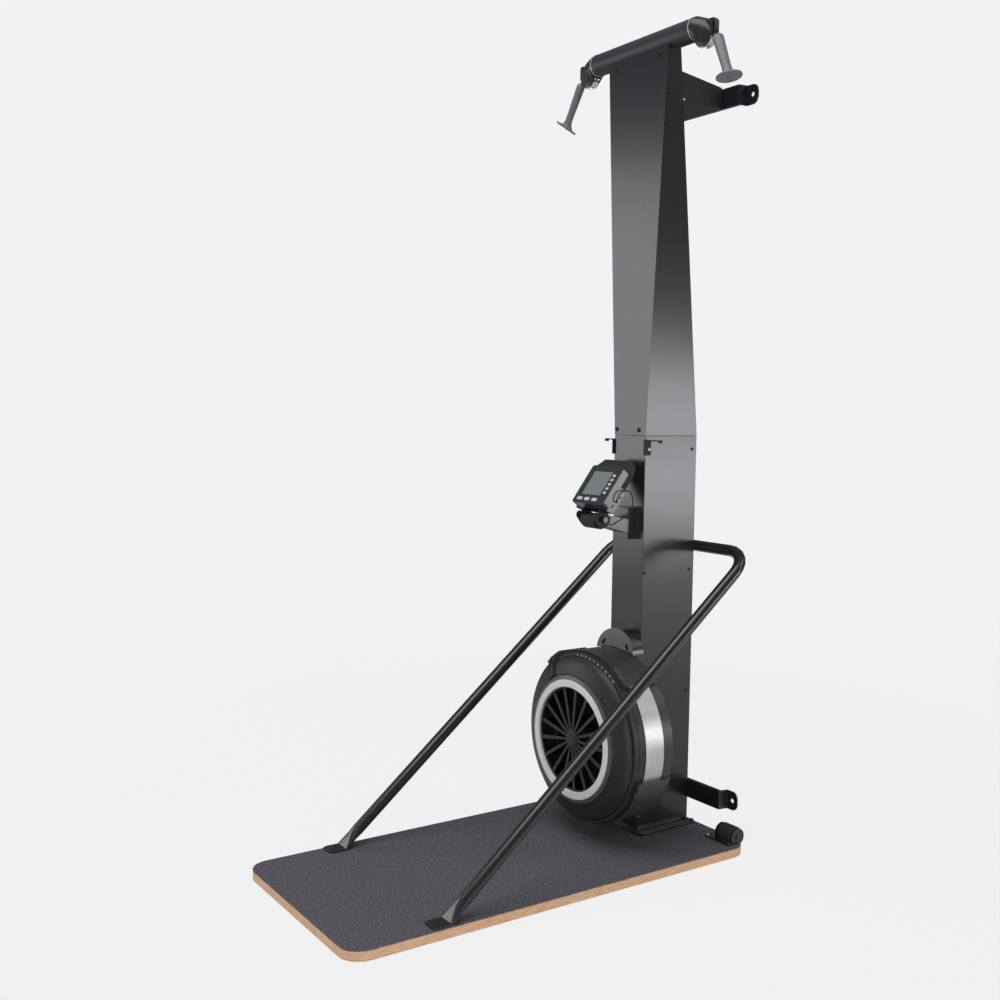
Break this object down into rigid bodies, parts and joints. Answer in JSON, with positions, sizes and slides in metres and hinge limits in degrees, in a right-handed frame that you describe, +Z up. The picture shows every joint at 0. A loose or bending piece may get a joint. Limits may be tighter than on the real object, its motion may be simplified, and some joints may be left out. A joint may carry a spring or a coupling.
{
  "type": "ski ergometer",
  "caption": "Standing ski ergometer: air flywheel and damper on a tall column, pull handles on cords, tilting console, handrail, wall straps and a floor platform with transport rollers.",
  "frame": {"origin": "on the floor, in the middle of the platform's underside", "axes": "+X to the user's right, +Y from the user towards the wall behind the column, +Z up"},
  "size_m": [0.7444, 1.2491, 2.2532],
  "materials": {
    "powder_coat": "semi-gloss charcoal powder coat",
    "black_plastic": "fine moulded texture",
    "grey_plastic": "satin",
    "plywood": "clear-coated birch plywood",
    "mat_rubber": "pebbled",
    "roller_rubber": "smooth",
    "brushed_steel": "brushed",
    "chrome": "polished",
    "silver_paint": "silver paint",
    "lens": "clear lens over a grey-green display",
    "button_plastic": "satin",
    "casting": "black painted",
    "cord": "braided",
    "cable": "smooth"
  },
  "bodies": {
    "stand": {"plywood_deck": "plywood", "rubber_mat": "mat_rubber", "roller_bracket_left": "powder_coat", "roller_bracket_right": "powder_coat", "base_flange": "powder_coat", "lower_column_shell": "powder_coat", "upper_column_shell": "powder_coat", "lower_back_panel": "powder_coat", "upper_back_panel": "powder_coat", "lower_wall_strap": "powder_coat", "upper_wall_strap": "powder_coat", "upper_wall_gusset": "powder_coat", "handrail_tube": "powder_coat", "rail_saddle": "powder_coat", "head_tube": "powder_coat", "inner_pulley_bracket": "casting", "pulley_housing_left": "black_plastic", "pulley_housing_right": "black_plastic", "drive_cord_left": "cord", "drive_cord_right": "cord", "return_cord": "cord", "front_cover": "black_plastic", "front_grille": "black_plastic", "grille_ring": "silver_paint", "steel_band": "brushed_steel", "rear_cover": "black_plastic", "front_bearing": "brushed_steel", "rear_bearing": "brushed_steel", "shaft_housing": "casting", "rear_bearing_bracket": "casting", "hood_bracket": "powder_coat", "hook_left": "powder_coat", "hook_right": "powder_coat", "console_yoke": "black_plastic"},
    "roller_left": {"transport_roller_left": "roller_rubber"},
    "roller_right": {"transport_roller_right": "roller_rubber"},
    "left_handle": {"handle_left": "grey_plastic"},
    "right_handle": {"handle_right": "grey_plastic"},
    "left_head_pulley": {"head_pulley_left": "chrome"},
    "right_head_pulley": {"head_pulley_right": "chrome"},
    "left_inner_pulley": {"inner_pulley_left": "chrome"},
    "right_inner_pulley": {"inner_pulley_right": "chrome"},
    "left_drum": {"cord_drum_left": "casting"},
    "right_drum": {"cord_drum_right": "casting"},
    "fan": {"fan_wheel": "casting", "drive_shaft": "brushed_steel"},
    "damper": {"damper_ring": "black_plastic"},
    "console": {"console_front_shell": "black_plastic", "console_rear_shell": "black_plastic", "console_lens": "lens", "console_cable": "cable"},
    "knob": {"tilt_knob": "black_plastic"},
    "side_key_1": {"side_button_1": "button_plastic"},
    "side_key_2": {"side_button_2": "button_plastic"},
    "side_key_3": {"side_button_3": "button_plastic"},
    "side_key_4": {"side_button_4": "button_plastic"},
    "side_key_5": {"side_button_5": "button_plastic"},
    "row_key_1": {"row_button_1": "button_plastic"},
    "row_key_2": {"row_button_2": "button_plastic"},
    "row_key_3": {"row_button_3": "button_plastic"}
  },
  "joints": [
    {"name": "roller_left_roll", "type": "hinge", "parent": "stand", "child": "roller_left", "pos_m": [-0.247, 0.592, 0.046], "axis": [1, 0, 0], "continuous": true},
    {"name": "roller_right_roll", "type": "hinge", "parent": "stand", "child": "roller_right", "pos_m": [0.247, 0.592, 0.046], "axis": [1, 0, 0], "continuous": true},
    {"name": "left_handle_pull", "type": "slide", "parent": "stand", "child": "left_handle", "axis": [-0.4398, -0.0872, -0.8938], "range_m": [0, 0.9], "stiffness_N_per_m": 20, "springref_m": -0.6},
    {"name": "right_handle_pull", "type": "slide", "parent": "stand", "child": "right_handle", "axis": [0.4398, -0.0872, -0.8938], "range_m": [0, 0.9], "stiffness_N_per_m": 20, "springref_m": -0.6},
    {"name": "left_head_pulley_spin", "type": "hinge", "parent": "stand", "child": "left_head_pulley", "pos_m": [-0.24, 0.43, 2.1965], "axis": [0, -1, 0], "range_deg": [0, 1990]},
    {"name": "right_head_pulley_spin", "type": "hinge", "parent": "stand", "child": "right_head_pulley", "pos_m": [0.24, 0.43, 2.1965], "axis": [0, 1, 0], "range_deg": [0, 1990]},
    {"name": "left_inner_pulley_spin", "type": "hinge", "parent": "stand", "child": "left_inner_pulley", "pos_m": [-0.04, 0.43, 2.2005], "axis": [0, -1, 0], "range_deg": [0, 2350]},
    {"name": "right_inner_pulley_spin", "type": "hinge", "parent": "stand", "child": "right_inner_pulley", "pos_m": [0.04, 0.43, 2.2005], "axis": [0, 1, 0], "range_deg": [0, 2350]},
    {"name": "left_drum_spin", "type": "hinge", "parent": "stand", "child": "left_drum", "pos_m": [0, 0.423, 0.3115], "axis": [0, -1, 0], "range_deg": [0, 2870]},
    {"name": "right_drum_spin", "type": "hinge", "parent": "stand", "child": "right_drum", "pos_m": [0, 0.448, 0.3115], "axis": [0, -1, 0], "range_deg": [0, 2870]},
    {"name": "fan_spin", "type": "hinge", "parent": "stand", "child": "fan", "pos_m": [0, 0.3, 0.3115], "axis": [0, -1, 0], "continuous": true},
    {"name": "damper_turn", "type": "hinge", "parent": "stand", "child": "damper", "pos_m": [0, 0.255, 0.3115], "axis": [0, 1, 0], "range_deg": [0, 54]},
    {"name": "console_tilt", "type": "hinge", "parent": "stand", "child": "console", "pos_m": [0, 0.28433, 0.92588], "axis": [1, 0, 0], "range_deg": [-5, 35]},
    {"name": "knob_turn", "type": "hinge", "parent": "stand", "child": "knob", "pos_m": [0, 0.28433, 0.92588], "axis": [1, 0, 0], "range_deg": [0, 180]},
    {"name": "side_key_1_press", "type": "slide", "parent": "console", "child": "side_key_1", "axis": [0, 0.7976, -0.6032], "range_m": [0, 0.0012], "stiffness_N_per_m": 300, "springref_m": -0.0015},
    {"name": "side_key_2_press", "type": "slide", "parent": "console", "child": "side_key_2", "axis": [0, 0.7976, -0.6032], "range_m": [0, 0.0012], "stiffness_N_per_m": 300, "springref_m": -0.0015},
    {"name": "side_key_3_press", "type": "slide", "parent": "console", "child": "side_key_3", "axis": [0, 0.7976, -0.6032], "range_m": [0, 0.0012], "stiffness_N_per_m": 300, "springref_m": -0.0015},
    {"name": "side_key_4_press", "type": "slide", "parent": "console", "child": "side_key_4", "axis": [0, 0.7976, -0.6032], "range_m": [0, 0.0012], "stiffness_N_per_m": 300, "springref_m": -0.0015},
    {"name": "side_key_5_press", "type": "slide", "parent": "console", "child": "side_key_5", "axis": [0, 0.7976, -0.6032], "range_m": [0, 0.0012], "stiffness_N_per_m": 300, "springref_m": -0.0015},
    {"name": "row_key_1_press", "type": "slide", "parent": "console", "child": "row_key_1", "axis": [0, 0.7976, -0.6032], "range_m": [0, 0.0012], "stiffness_N_per_m": 300, "springref_m": -0.0015},
    {"name": "row_key_2_press", "type": "slide", "parent": "console", "child": "row_key_2", "axis": [0, 0.7976, -0.6032], "range_m": [0, 0.0012], "stiffness_N_per_m": 300, "springref_m": -0.0015},
    {"name": "row_key_3_press", "type": "slide", "parent": "console", "child": "row_key_3", "axis": [0, 0.7976, -0.6032], "range_m": [0, 0.0012], "stiffness_N_per_m": 300, "springref_m": -0.0015}
  ],
  "couplings": [
    {"joint": "left_head_pulley_spin", "follows": "left_handle_pull", "rad_per_m": 38.462},
    {"joint": "left_inner_pulley_spin", "follows": "left_handle_pull", "rad_per_m": 45.455},
    {"joint": "left_drum_spin", "follows": "left_handle_pull", "rad_per_m": 55.556},
    {"joint": "right_head_pulley_spin", "follows": "right_handle_pull", "rad_per_m": 38.462},
    {"joint": "right_inner_pulley_spin", "follows": "right_handle_pull", "rad_per_m": 45.455},
    {"joint": "right_drum_spin", "follows": "right_handle_pull", "rad_per_m": 55.556}
  ]
}
